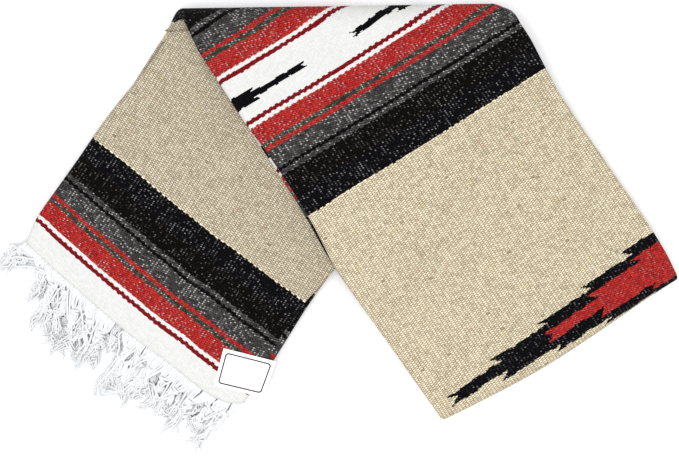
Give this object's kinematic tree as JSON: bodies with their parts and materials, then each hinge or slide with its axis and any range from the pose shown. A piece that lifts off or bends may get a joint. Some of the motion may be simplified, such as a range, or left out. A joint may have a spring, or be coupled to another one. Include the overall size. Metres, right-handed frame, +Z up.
{
  "type": "folded mexican serape blanket",
  "caption": "Striped woven blanket with a knotted fringe, folded into a long band and over once on the slant, lying flat.",
  "frame": {"origin": "middle of the whole box on the plan, at the surface that the folded cloth lies on", "axes": "+Z up from the surface; +X from the fringed end towards the end fold, the longest extent; +Y towards the slanting fold"},
  "size_m": [0.8036, 0.5138, 0.0504],
  "materials": {
    "upper_cloth": "weft-faced weave with stripes, matt and slightly napped",
    "lower_cloth": "weft-faced weave with stripes, matt and slightly napped",
    "layers": "weft-faced weave seen at its folded edges, matt",
    "fringe_yarn": "soft twisted white yarn, matt",
    "label_cloth": "close plain white tape, slight sheen"
  },
  "bodies": {
    "root": {"lower_leg": "lower_cloth", "upper_leg": "upper_cloth", "hidden_layers": "layers", "fringe_top": "fringe_yarn", "fringe_middle": "fringe_yarn", "fringe_bottom": "fringe_yarn", "label": "label_cloth"}
  },
  "joints": []
}
